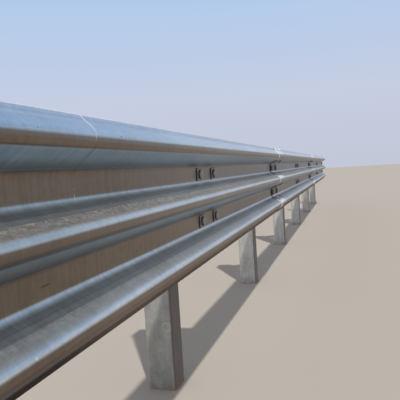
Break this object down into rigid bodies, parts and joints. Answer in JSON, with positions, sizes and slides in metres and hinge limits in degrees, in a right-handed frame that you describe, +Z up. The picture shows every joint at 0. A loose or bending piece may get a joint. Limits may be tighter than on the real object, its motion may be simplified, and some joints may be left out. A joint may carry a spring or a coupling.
{
  "type": "highway guardrail section",
  "caption": "Highway guardrail section with a three-wave sheet rail on square posts, held off by spacer blocks.",
  "frame": {"origin": "centre of the middle post's foot, at ground level", "axes": "+X along the rail, +Y away from the road, +Z up"},
  "size_m": [12.32, 0.4027, 1.1137],
  "materials": {
    "rail": "hot-dip galvanised sheet, semi-bright with soft streaks along the rail",
    "post": "hot-dip galvanised tube, dull grey",
    "block": "hot-dip galvanised plate, dull grey",
    "cap": "hot-dip galvanised pressed sheet, dull grey"
  },
  "bodies": {
    "root": {"rail_panel_1": "rail", "rail_panel_2": "rail", "rail_panel_3": "rail", "post_1": "post", "spacer_block_1": "block", "post_cap_1": "cap", "post_2": "post", "spacer_block_2": "block", "post_cap_2": "cap", "post_3": "post", "spacer_block_3": "block", "post_cap_3": "cap", "post_4": "post", "spacer_block_4": "block", "post_cap_4": "cap", "post_5": "post", "spacer_block_5": "block", "post_cap_5": "cap", "post_6": "post", "spacer_block_6": "block", "post_cap_6": "cap", "post_7": "post", "spacer_block_7": "block", "post_cap_7": "cap"}
  },
  "joints": []
}
